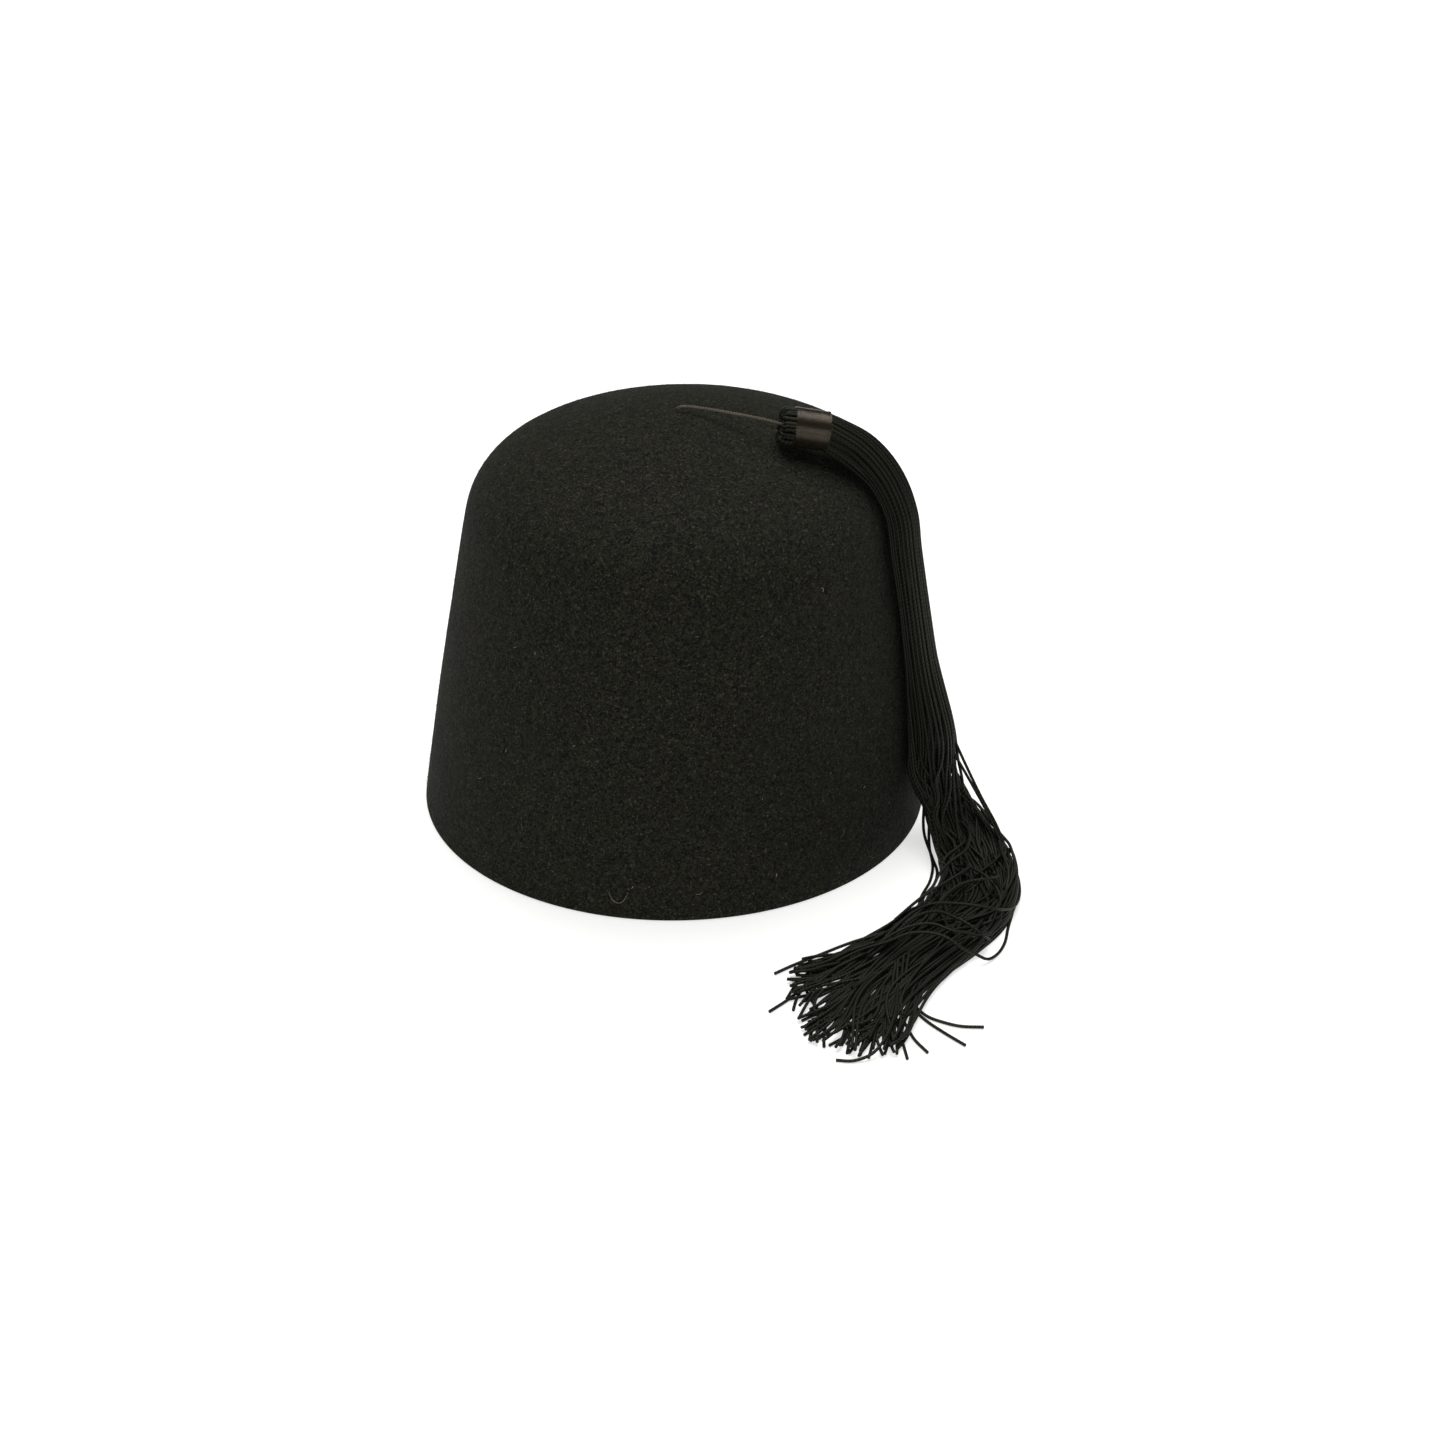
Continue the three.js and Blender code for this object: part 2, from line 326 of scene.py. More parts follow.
wool = {
    "clumps": 1.35 * mm,  # single fibres are too fine to show, their clumps are not
    "curls": 2.1 * mm,
    "specks": 0.95 * mm,
    "clouds": 26 * mm,
    "nap": 3.4 * mm,
    "napDepth": 0.4 * mm,
    "clumpDepth": 0.45 * mm,
}


def pressedWool():
    # Blocked wool felt: matted fibres with no weave, matt, with a faint bloom at grazing angles.
    constants = {
        "Roughness": 0.93,
        "Specular IOR Level": 0.14,
        "Sheen Weight": 0.01,
        "Sheen Roughness": 0.6,
        "Sheen Tint": "#a39d90",
    }
    material, tree, shader = newMaterial("pressedWoolFelt", constants)
    place = addNode(tree, "TexCoord").outputs["Object"]
    scale = 1 / wool["clumps"]
    settings = {"Vector": place, "Scale": scale, "Detail": 4, "Roughness": 0.62, "Distortion": 1.8}
    clumps = addNode(tree, "TexNoise", settings).outputs["Fac"]
    scale = 1 / wool["curls"]
    settings = {"Vector": place, "Scale": scale, "Detail": 3, "Roughness": 0.5, "Distortion": 2.4}
    curls = addNode(tree, "TexNoise", settings, noise_type="RIDGED_MULTIFRACTAL").outputs["Fac"]
    settings = {"Vector": place, "Scale": 1 / wool["specks"], "Detail": 3, "Roughness": 0.6}
    specks = addNode(tree, "TexNoise", settings).outputs["Fac"]
    settings = {"Vector": place, "Scale": 1 / wool["clouds"], "Detail": 4, "Roughness": 0.5}
    clouds = addNode(tree, "TexNoise", settings).outputs["Fac"]
    settings = {"Vector": place, "Scale": 1 / wool["nap"], "Detail": 5, "Roughness": 0.65}
    nap = addNode(tree, "TexNoise", settings).outputs["Fac"]
    # darker where the clumps sink, on the same noise as the bump: painted shade in the hollows between
    # clumps; then paler curled fibres and single pale specks over it
    settings = {"Value": clumps, "From Min": 0.43, "From Max": 0.6}
    raised = addNode(tree, "MapRange", settings).outputs[0]
    settings = {"Value": curls, "From Min": 0.6, "From Max": 0.85, "To Max": 0.8}
    curled = addNode(tree, "MapRange", settings).outputs[0]
    settings = {"Value": specks, "From Min": 0.58, "From Max": 0.74, "To Max": 0.62}
    speckled = addNode(tree, "MapRange", settings).outputs[0]
    # the hollows between clumps get the near-black colour as painted shade, the tops of the clumps the paler
    # one
    settings = {mixFactor: raised, mixA: "#040403", mixB: "#2b2b24"}
    groundWithHollowShade = addNode(tree, "Mix", settings, data_type="RGBA").outputs[2]
    settings = {mixFactor: curled, mixA: groundWithHollowShade, mixB: "#393932"}
    fibred = addNode(tree, "Mix", settings, data_type="RGBA").outputs[2]
    settings = {mixFactor: speckled, mixA: fibred, mixB: "#5b5b53"}
    flecked = addNode(tree, "Mix", settings, data_type="RGBA").outputs[2]
    settings = {mixFactor: clouds, mixA: "#dadccf", mixB: "#f6f3e2"}
    tint = addNode(tree, "Mix", settings, data_type="RGBA").outputs[2]
    settings = {mixFactor: 1.0, mixA: flecked, mixB: tint}
    toned = addNode(tree, "Mix", settings, data_type="RGBA", blend_type="MULTIPLY").outputs[2]
    tree.links.new(toned, shader.inputs["Base Color"])
    settings = {"Height": nap, "Strength": 0.4, "Distance": wool["napDepth"]}
    napped = addNode(tree, "Bump", settings).outputs[0]
    settings = {"Height": clumps, "Strength": 0.9, "Distance": wool["clumpDepth"], "Normal": napped}
    matted = addNode(tree, "Bump", settings).outputs[0]
    tree.links.new(matted, shader.inputs["Normal"])
    return material


# short loose fibres that stand off the felt and soften its edge
fuzz = {
    "count": 9000,
    "length": 1.7 * mm,
    "lengthRange": (0.4, 1.3),
    "thickness": 0.045 * mm,
    "leastLift": 0.06,  # lift and bend are shares of a fibre's length
    "mostLift": 0.8,
    "bend": 0.5,
    "rimMargin": 1 * mm,
    "seed": 11,
}


def buildFuzz():
    rng = np.random.default_rng(fuzz["seed"])
    run = np.sqrt(rng.random(fuzz["count"])) * (outlineWay[-1] - fuzz["rimMargin"])
    azimuth = rng.random(fuzz["count"]) * 2 * math.pi
    root = feltPoints(run, azimuth)
    normal = feltNormals(run, azimuth)
    lie = unit(np.cross(normal, rng.normal(size=root.shape)))
    lift = rng.random((fuzz["count"], 1)) ** 2 * fuzz["mostLift"] + fuzz["leastLift"]
    length = fuzz["length"] * rng.uniform(*fuzz["lengthRange"], (fuzz["count"], 1))
    bend = unit(np.cross(normal, lie)) * rng.uniform(-fuzz["bend"], fuzz["bend"], (fuzz["count"], 1))
    lines = []
    for share in (-0.1, 0.35, 0.7, 1.0):
        out = normal * lift * share * (1.25 - 0.5 * share)
        lines.append(root + length * (lie * share + bend * share**2 + out))
    lines = np.stack(lines, axis=1)
    lines[..., 2] = np.maximum(lines[..., 2], fuzz["thickness"])
    taper = fuzz["thickness"] / 2 * np.array([1, 1, 0.8, 0.4])
    piece = newPiece("felt_fuzz", tubeMesh("felt_fuzz", lines, taper[None], 3, rng.random(fuzz["count"])))
    return piece


def looseWool():
    # Single wool fibres: thin, dull and a little paler than the matted felt below them.
    material, tree, shader = newMaterial("looseWoolFibre", {"Roughness": 0.85, "Specular IOR Level": 0.15})
    shade = addNode(tree, "Attribute", attribute_name="shade").outputs["Fac"]
    settings = {mixFactor: shade, mixA: "#121210", mixB: "#35342c"}
    tone = addNode(tree, "Mix", settings, data_type="RGBA").outputs[2]
    tree.links.new(tone, shader.inputs["Base Color"])
    return material


# Pale lint that has settled on the felt: azimuth and turn in degrees, height, length and thickness in
# millimetres, and how far it curls as a share of its length.
lint = [
    {"azimuth": -101.5, "height": 8.2, "length": 8.0, "curl": 1.25, "turn": 0, "thickness": 0.16},
    {"azimuth": -98.5, "height": 13, "length": 1.2, "curl": 0.2, "turn": 60, "thickness": 0.2},
    {"azimuth": -132, "height": 92, "length": 1.6, "curl": 0.3, "turn": 30, "thickness": 0.2},
    {"azimuth": -126, "height": 93, "length": 1.2, "curl": 0.3, "turn": 140, "thickness": 0.18},
    {"azimuth": -66, "height": 14, "length": 1.5, "curl": 0.4, "turn": 80, "thickness": 0.2},
    {"azimuth": -84, "height": 11, "length": 2.4, "curl": 0.6, "turn": 20, "thickness": 0.14},
    {"azimuth": -52, "height": 118, "length": 2.0, "curl": 0.8, "turn": 110, "thickness": 0.14},
    {"azimuth": -47, "height": 22, "length": 3.2, "curl": 0.5, "turn": 70, "thickness": 0.13},
    {"azimuth": 150, "height": 64, "length": 2.6, "curl": 0.9, "turn": 45, "thickness": 0.14},
    {"azimuth": 92, "height": 40, "length": 1.8, "curl": 0.4, "turn": 10, "thickness": 0.16},
]
moreLint = {"count": 46, "seed": 5, "lift": 0.22 * mm}


def buildLint():
    rng = np.random.default_rng(moreLint["seed"])
    rows = list(lint)
    for _ in range(moreLint["count"]):
        rows.append(
            {
                "azimuth": rng.uniform(0, 360),
                "height": rng.uniform(6, 130),
                "length": rng.uniform(0.5, 1.8),
                "curl": rng.uniform(0, 1.2),
                "turn": rng.uniform(0, 180),
                "thickness": rng.uniform(0.08, 0.14),
            }
        )
    lines, radii = [], []
    for row in rows:
        azimuth = math.radians(row["azimuth"])
        run = np.interp(-row["height"] * mm, -outline[:, 1], outlineWay)
        normal = feltNormals(run, azimuth)
        sideways = np.array([-math.sin(azimuth), math.cos(azimuth), 0.0])
        upwards = np.cross(normal, sideways)
        turn = math.radians(row["turn"])
        lie = sideways * math.cos(turn) + upwards * math.sin(turn)
        across = upwards * math.cos(turn) - sideways * math.sin(turn)
        share = np.linspace(-1, 1, 9)[:, None]
        half = row["length"] * mm / 2
        lift = row["thickness"] * mm * 0.5 + moreLint["lift"]
        lines.append(
            feltPoints(run, azimuth)
            + lie * share * half * (1 - 0.125 * row["curl"] * share**2)
            + across * (share**2 - 0.5) * half * row["curl"] * 0.8
            + normal * lift
        )
        radii.append(row["thickness"] * mm / 2 * np.array([0.5, 0.9, 1, 1, 1, 1, 1, 0.9, 0.5]))
    mesh = tubeMesh("felt_lint", np.array(lines), np.array(radii), 5, rng.random(len(rows)))
    piece = newPiece("felt_lint", mesh)
    return piece


def paleDust():
    # Cotton lint: pale, dull and a little uneven.
    material, tree, shader = newMaterial("cottonLint", {"Roughness": 0.9, "Specular IOR Level": 0.2})
    shade = addNode(tree, "Attribute", attribute_name="shade").outputs["Fac"]
    settings = {mixFactor: shade, mixA: "#57544a", mixB: "#97917f"}
    tone = addNode(tree, "Mix", settings, data_type="RGBA").outputs[2]
    tree.links.new(tone, shader.inputs["Base Color"])
    return material


# cord finishes
knit = {"stitch": 1.5 * mm, "wales": 3.0, "slant": 1.1, "depth": 0.16 * mm}
thread = {"patch": 0.8 * mm, "twist": 0.9 * mm, "depth": 0.03 * mm}


def knittedCord():
    # Fine tubular knit of black rayon: a soft gloss, with a chain of small stitches along it, and painted
    # shade in the grooves between the stitches.
    constants = {"Roughness": 0.52, "Specular IOR Level": 0.2, "Specular Tint": "#f6f8de"}
    material, tree, shader = newMaterial("knittedRayonCord", constants)
    uv = addNode(tree, "UVMap", uv_map="cordUv").outputs[0]
    parts = addNode(tree, "SeparateXYZ", {0: uv}).outputs
    # stitches are Vs: the way along, pushed forwards by how far round the point is from a wale
    settings = {0: parts["X"], 1: knit["wales"]}
    wales = addNode(tree, "Math", settings, operation="MULTIPLY").outputs[0]
    vee = addNode(tree, "Math", {0: wales, 1: 0.5}, operation="PINGPONG").outputs[0]
    settings = {0: parts["Y"], 1: 1 / knit["stitch"]}
    rows = addNode(tree, "Math", settings, operation="MULTIPLY").outputs[0]
    settings = {0: vee, 1: knit["slant"], 2: rows}
    slanted = addNode(tree, "Math", settings, operation="MULTIPLY_ADD").outputs[0]
    wave = addNode(tree, "Math", {0: slanted, 1: 2 * math.pi}, operation="MULTIPLY").outputs[0]
    stitches = addNode(tree, "Math", {0: wave}, operation="SINE").outputs[0]
    across = addNode(tree, "Math", {0: vee, 1: 2 * math.pi}, operation="MULTIPLY").outputs[0]
    grooves = addNode(tree, "Math", {0: across}, operation="COSINE").outputs[0]
    settings = {0: grooves, 1: -0.45, 2: stitches}
    relief = addNode(tree, "Math", settings, operation="MULTIPLY_ADD").outputs[0]
    settings = {"Value": relief, "From Min": -1.4, "From Max": 1.4}
    height = addNode(tree, "MapRange", settings).outputs[0]
    shade = addNode(tree, "Attribute", attribute_name="shade").outputs["Fac"]
    settings = {mixFactor: shade, mixA: "#030302", mixB: "#060605"}
    dark = addNode(tree, "Mix", settings, data_type="RGBA").outputs[2]
    settings = {mixFactor: shade, mixA: "#191a15", mixB: "#25261f"}
    pale = addNode(tree, "Mix", settings, data_type="RGBA").outputs[2]
    # the mix follows the relief: the grooves get the near-black colour as painted shade, the stitch tops the
    # paler one; the shade attribute is a random tone per cord
    settings = {mixFactor: height, mixA: dark, mixB: pale}
    yarnWithGrooveShade = addNode(tree, "Mix", settings, data_type="RGBA").outputs[2]
    tree.links.new(yarnWithGrooveShade, shader.inputs["Base Color"])
    settings = {"Height": height, "Strength": 0.8, "Distance": knit["depth"]}
    tree.links.new(addNode(tree, "Bump", settings).outputs[0], shader.inputs["Normal"])
    return material


def satinThread(name, dark, pale, roughness):
    # Rayon satin thread: smooth filaments laid side by side, which give a long silky highlight.
    constants = {
        "Roughness": roughness,
        "Specular IOR Level": 0.7,
        "Specular Tint": "#fff0d8",
    }
    material, tree, shader = newMaterial(name, constants)
    place = addNode(tree, "TexCoord").outputs["Object"]
    settings = {"Vector": place, "Scale": 1 / thread["patch"], "Detail": 4}
    patches = addNode(tree, "TexNoise", settings).outputs["Fac"]
    settings = {mixFactor: patches, mixA: dark, mixB: pale}
    tone = addNode(tree, "Mix", settings, data_type="RGBA").outputs[2]
    tree.links.new(tone, shader.inputs["Base Color"])
    # filaments twist round the thread
    uv = addNode(tree, "UVMap", uv_map="cordUv").outputs[0]
    parts = addNode(tree, "SeparateXYZ", {0: uv}).outputs
    settings = {0: parts["Y"], 1: 1 / thread["twist"]}
    lay = addNode(tree, "Math", settings, operation="MULTIPLY").outputs[0]
    settings = {0: parts["X"], 1: 2.0, 2: lay}
    twist = addNode(tree, "Math", settings, operation="MULTIPLY_ADD").outputs[0]
    wave = addNode(tree, "Math", {0: twist, 1: 2 * math.pi}, operation="MULTIPLY").outputs[0]
    filaments = addNode(tree, "Math", {0: wave}, operation="SINE").outputs[0]
    settings = {"Height": filaments, "Strength": 0.4, "Distance": thread["depth"]}
    tree.links.new(addNode(tree, "Bump", settings).outputs[0], shader.inputs["Normal"])
    return material


# the stem: the thread that ties the tassel to the crown
headPlace = np.array([35.85, -13.2, 157.9]) * mm  # middle of the band's upper end
headAxis = unit(np.array([14.1, 1.6, -2.2]))
stem = {
    "diameter": 1.1 * mm,
    "plies": 2,
    "plyRadius": 0.25,  # a share of the stem's diameter, as is how far a ply's middle is from the stem's
    "plyOffset": 0.27,
    "pitch": 2.3 * mm,
    "rowStep": 0.3 * mm,
    "hollowStart": -2.4 * mm,  # where it ends, in the hollow of the loops
    "route": [  # the points of the CAD route, in millimetres
        (-5.5, 5.5, 154.75),
        (-4.5, 4.9, 155.7),
        (-2.4, 3.75, 156.5),
        (1.6, 1.6, 157.2),
        (7.5, -1.6, 157.9),
        (14.5, -5.5, 158.6),
        (21, -9.1, 159.2),
        (26.5, -12.1, 159.5),
        (30.8, -13.7, 159.1),
    ],
}


def buildStem():
    route = np.array(stem["route"]) * mm
    route = np.vstack([route, headPlace + headAxis * stem["hollowStart"]])
    middle = curveThrough(route)
    length = wayAlong(middle)[-1]
    rows = int(length / stem["rowStep"])
    middle = evenly(middle, rows)
    along, side, across = framesAlong(middle[None])
    offset = stem["diameter"] * stem["plyOffset"]
    way = np.linspace(0, length, rows)
    lines = []
    for k in range(stem["plies"]):
        angle = 2 * math.pi * (way / stem["pitch"] + k / stem["plies"])[:, None]
        lines.append(middle + offset * (np.cos(angle) * side[0] + np.sin(angle) * across[0]))
    radius = stem["diameter"] * stem["plyRadius"]
    piece = newPiece("stem_thread", tubeMesh("stem_thread", np.array(lines), radius, 8))
    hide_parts("stem_cord")
    return piece


stemThread = buildStem()
stemThread.data.materials.append(satinThread("twistedRayonThread", "#2b2822", "#5c564a", 0.42))
print("stem made")

feltCap = buildFelt()
feltCap.data.materials.append(pressedWool())
feltFuzz = buildFuzz()
feltFuzz.data.materials.append(looseWool())
feltLint = buildLint()
feltLint.data.materials.append(paleDust())
print("felt made")

# the tassel's head: folded loops and the wound band
spareUp = np.array([0, 0, 1.0])
headAcross = unit(np.cross(headAxis, spareUp))
headUp = np.cross(headAcross, headAxis)


def onHead(distance, radius, angle):
    distance, radius, angle = np.broadcast_arrays(distance, radius, angle)
    return (
        headPlace
        + headAxis * distance[..., None]
        + headAcross * (radius * np.cos(angle))[..., None]
        + headUp * (radius * np.sin(angle))[..., None]
    )


# Each row is one ring of folded cords: how many, the radius of their outer and inner leg, how far the fold
# stands out of the band and how far down the inner leg ends, in millimetres.
loopRings = [
    {"count": 30, "outer": 6.35, "inner": 4.6, "top": 5.1, "down": 1.6},
    {"count": 19, "outer": 4.8, "inner": 2.8, "top": 4.7, "down": 0.8},
]
loopCord = {
    "diameter": 1.15 * mm,
    "jitter": 0.45,  # of a cord's share of the ring
    "lean": 0.32,  # radians round the head
    "topRange": (-1.0, 0.15),
    "legs": (1.2, -0.6),  # where the outer leg starts inside the band, and where it leaves it
    "rows": 22,
    "seed": 3,
}


def buildLoops():
    rng = np.random.default_rng(loopCord["seed"])
    lines = []
    for ring in loopRings:
        for k in range(ring["count"]):
            angle = 2 * math.pi * (k + rng.uniform(-loopCord["jitter"], loopCord["jitter"])) / ring["count"]
            lean = rng.uniform(-loopCord["lean"], loopCord["lean"])
            top = ring["top"] + rng.uniform(*loopCord["topRange"])
            middle = (ring["outer"] + ring["inner"]) / 2
            half = (ring["outer"] - ring["inner"]) / 2
            bow = np.linspace(0, math.pi, 9)
            fold = -top + loopCord["diameter"] / mm / 2 + half * (1 - np.sin(bow))
            outerLeg = [*loopCord["legs"], -top + half + 0.4]
            distance = np.concatenate([outerLeg, fold, [-ring["down"]]])
            radius = np.concatenate([[ring["outer"]] * 3, middle + half * np.cos(bow), [ring["inner"]]])
            around = angle + lean * np.linspace(0, 1, len(distance))
            line = curveThrough(onHead(distance * mm, radius * mm, around), 8)
            lines.append(evenly(line, loopCord["rows"]))
    mesh = tubeMesh("tassel_folds", np.array(lines), loopCord["diameter"] / 2, 8, rng.random(len(lines)))
    piece = newPiece("tassel_folds", mesh)
    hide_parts("tassel_loops")
    return piece


band = {
    "length": 12.8 * mm,
    "radius": 7.2 * mm,
    "thread": 0.42 * mm,
    "pitch": 0.37 * mm,
    "perTurn": 44,
    "wander": 0.035 * mm,  # how unevenly the turns lie, outwards and along
    "slip": 0.03 * mm,
    "wanderStep": 1.7,  # radians
    "furrow": 11.5 * mm,  # a slack turn near the lower end
    "furrowDepth": 0.2 * mm,
    "furrowWidth": 0.3 * mm,
    "seed": 8,
}


def turned(name, pairs):  # an outline of (distance, radius) turned about the head's axis
    bm = bmesh.new()
    verts = [bm.verts.new(Vector(onHead(d, r, 0.0))) for d, r in pairs]
    edges = [bm.edges.new(pair) for pair in zip(verts, verts[1:])]
    bmesh.ops.spin(
        bm,
        geom=verts + edges,
        cent=Vector(headPlace),
        axis=Vector(headAxis),
        dvec=(0, 0, 0),
        angle=2 * math.pi,
        steps=64,
        use_merge=True,
    )
    bmesh.ops.remove_doubles(bm, verts=bm.verts, dist=0.005 * mm)
    bmesh.ops.recalc_face_normals(bm, faces=bm.faces)
    mesh = bpy.data.meshes.new(name)
    bm.to_mesh(mesh)
    bm.free()
    mesh.polygons.foreach_set("use_smooth", np.ones(len(mesh.polygons), bool))
    return mesh


def buildBand():
    rng = np.random.default_rng(band["seed"])
    core = band["radius"] - band["thread"] * 0.8
    coreMesh = turned(
        "band_core",
        [
            (-3.4 * mm, 0),
            (-3.6 * mm, 1.6 * mm),
            (-0.2 * mm, 2.6 * mm),
            (-0.1 * mm, 6.0 * mm),
            (0.2 * mm, core - 0.3 * mm),
            (0.6 * mm, core),
            (band["length"] - 0.5 * mm, core),
            (band["length"] - 0.1 * mm, core - 0.6 * mm),
            (band["length"] - 0.1 * mm, 0),
        ],
    )
    corePiece = newPiece("band_core", coreMesh)
    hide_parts("tassel_band")
    turns = (band["length"] - band["thread"]) / band["pitch"]
    rows = int(turns * band["perTurn"])
    angle = np.linspace(0, 2 * math.pi * turns, rows)
    distance = band["thread"] / 2 + np.linspace(0, 1, rows) * (band["length"] - band["thread"])
    steps = np.arange(0, angle[-1] + 3, band["wanderStep"])
    wander = np.interp(angle, steps, rng.normal(size=len(steps)))
    furrow = np.exp(-(((distance - band["furrow"]) / band["furrowWidth"]) ** 2))
    radius = band["radius"] - band["thread"] / 2 + band["wander"] * wander - band["furrowDepth"] * furrow
    distance = distance + band["slip"] * np.roll(wander, 60)
    line = onHead(distance, radius, angle)
    piece = newPiece("band_winding", tubeMesh("band_winding", line, band["thread"] / 2, 6))
    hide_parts("tassel_band")
    return corePiece, piece


tasselFolds = buildLoops()
knitWithGrooveShade = knittedCord()
tasselFolds.data.materials.append(knitWithGrooveShade)
bandCore, bandWinding = buildBand()
# the core is the satin thread made darker: painted shade where it shows, in the hollow of the loops and
# between the turns of the winding
bandCore.data.materials.append(satinThread("satinCoreInPaintedShade", "#0c0c0b", "#151412", 0.6))
bandWinding.data.materials.append(satinThread("woundSatinThread", "#0e0c09", "#2a251d", 0.27))
print("tassel head made")

# the tassel's skirt: its hanging cords
# Rows on the felt say how far down the outline and at which azimuth the bundle lies, its size there and how
# far it is lifted off the felt, in millimetres and degrees.
skirtOnFelt = [
    {"run": 61, "azimuth": -10.6, "width": 15.4, "thickness": 12.8, "lift": 2.4},
    {"run": 72, "azimuth": -11.4, "width": 15.8, "thickness": 11.4, "lift": 1.2},
    {"run": 84, "azimuth": -13.6, "width": 16, "thickness": 10.6, "lift": 1},
    {"run": 98, "azimuth": -15.6, "width": 16.8, "thickness": 10.4, "lift": 1},
    {"run": 118, "azimuth": -16.2, "width": 17.4, "thickness": 9.6, "lift": 1},
    {"run": 142, "azimuth": -15.8, "width": 18, "thickness": 10.4, "lift": 1.4},
    {"run": 166, "azimuth": -15.6, "width": 20.4, "thickness": 14, "lift": 2.6},
    {"run": 186, "azimuth": -15.4, "width": 25, "thickness": 15.6, "lift": 4.2},
]
# Rows beyond the rim give the middle of the bundle; lean is how far it faces up rather than outwards.
skirtOnSurface = [
    {"at": (104.4, -34, 15), "width": 29.5, "thickness": 13, "lean": 0.6},
    {"at": (111, -50, 7.4), "width": 29, "thickness": 11.6, "lean": 1},
    {"at": (112, -68, 6), "width": 28.5, "thickness": 11.2, "lean": 1},
    {"at": (106.5, -84.5, 5.8), "width": 30, "thickness": 10.8, "lean": 1},
    {"at": (95, -99.5, 5.5), "width": 33, "thickness": 10, "lean": 1},
    {"at": (84, -113.5, 5.2), "width": 34, "thickness": 9.6, "lean": 1},
    {"at": (74.5, -128, 4.6), "width": 37, "thickness": 8, "lean": 1},
]
skirt = {  # in millimetres
    "tuckIn": 1.0,  # the cords start this far inside the band, and this much narrower than it
    "throat": 0.4,
    "sunk": 0.1,  # how far short of the felt the bundle's underside is taken to lie
    "cords": 150,
    "diameter": 1.14,
    "rows": 150,
    "outerCords": 23,  # spaced round the outside, with grooves between them
    "outerRoom": (1.0, 1.2),  # the room a cord keeps, as a share of its diameter
    "innerRoom": (0.88, 1.04),
    "innerDepth": 1.05,
    "sectionStep": 2.1,
    "settling": 200,  # rounds of pushing in the first section, and in each one after it
    "rounds": 26,
    "push": 0.3,  # how hard touching cords part, how hard all of them spread, and how fast they sink
    "spread": 0.06,
    "sink": 0.03,
    "pull": 0.7,  # how hard the outline holds them in
    "heldUntil": 0.4,  # the outer cords keep their places until the bundle is as loose as this
    "seed": 21,
    "looseFrom": 96.0,  # the way along the skirt where the cords start to part
    "looseAll": 190.0,
    "fanFrom": 236.0,  # and where they start to fan out
    "fanMiddle": (86.0, -112.0),
    "fanRows": 36,
    "swing": 2.1,  # how far a cord keeps to the bundle's way before it turns to its end
    "pullBack": 5.5,  # the scale of how far short of the fan's edge a cord is cut
    "reachOut": 3.5,  # and how far past the edge the longest ones go
    "mix": 0.12,  # how far a cord strays from its place in the fan
    "tipLean": math.radians(15),  # how much a cut end leans, lies above the surface and waves
    "tipLift": 3.4,
    "tipWave": 1.4,
}
# the slow waves on which a cord wanders: shortest and longest length in millimetres, and steepness
wanderWaves = [
    {"shortest": 22.0, "longest": 38.0, "slope": 0.13},
    {"shortest": 42.0, "longest": 75.0, "slope": 0.15},
    {"shortest": 85.0, "longest": 140.0, "slope": 0.14},
]
# where the cut ends lie, from the fan's left edge round to its right
fanEdge = [
    (48, -120),
    (44, -129),
    (43.5, -140),
    (46, -153),
    (50, -163),
    (57, -169),
    (65, -172),
    (72, -172),
    (78, -168),
]


def skirtSections():
    # rows of centre, facing, width, thickness and the way down to what the bundle lies on, in millimetres
    start = (headPlace + headAxis * (band["length"] - skirt["tuckIn"] * mm)) / mm
    first = 2 * (band["radius"] / mm - skirt["throat"])
    rows = [[*start, *headUp, first, first, first / 2]]
    for row in skirtOnFelt:
        azimuth = math.radians(row["azimuth"])
        facing = feltNormals(row["run"] * mm, azimuth)
        reach = row["thickness"] / 2 + row["lift"]
        at = feltPoints(row["run"] * mm, azimuth) / mm + facing * reach
        rows.append([*at, *facing, row["width"], row["thickness"], reach - skirt["sunk"]])
    for row in skirtOnSurface:
        at = np.array(row["at"], float)
        outwards = unit(np.array([at[0], at[1], 0]))
        facing = unit(outwards * (1 - row["lean"]) + spareUp * row["lean"])
        below = at[2] if row["lean"] == 1 else row["thickness"] / 2
        rows.append([*at, *facing, row["width"], row["thickness"], below])
    rows = np.array(rows)
    perSpan = 24
    centre = curveThrough(rows[:, :3], perSpan)
    station = np.arange(len(centre)) / perSpan
    others = np.stack([np.interp(station, np.arange(len(rows)), rows[:, k]) for k in range(3, 9)], axis=1)
    way = wayAlong(centre)
    at = np.arange(0, min(way[-1], skirt["fanFrom"]), skirt["sectionStep"])
    every = np.hstack([centre, others])
    every = np.stack([np.interp(at, way, every[:, k]) for k in range(every.shape[1])], axis=1)
    return at, every


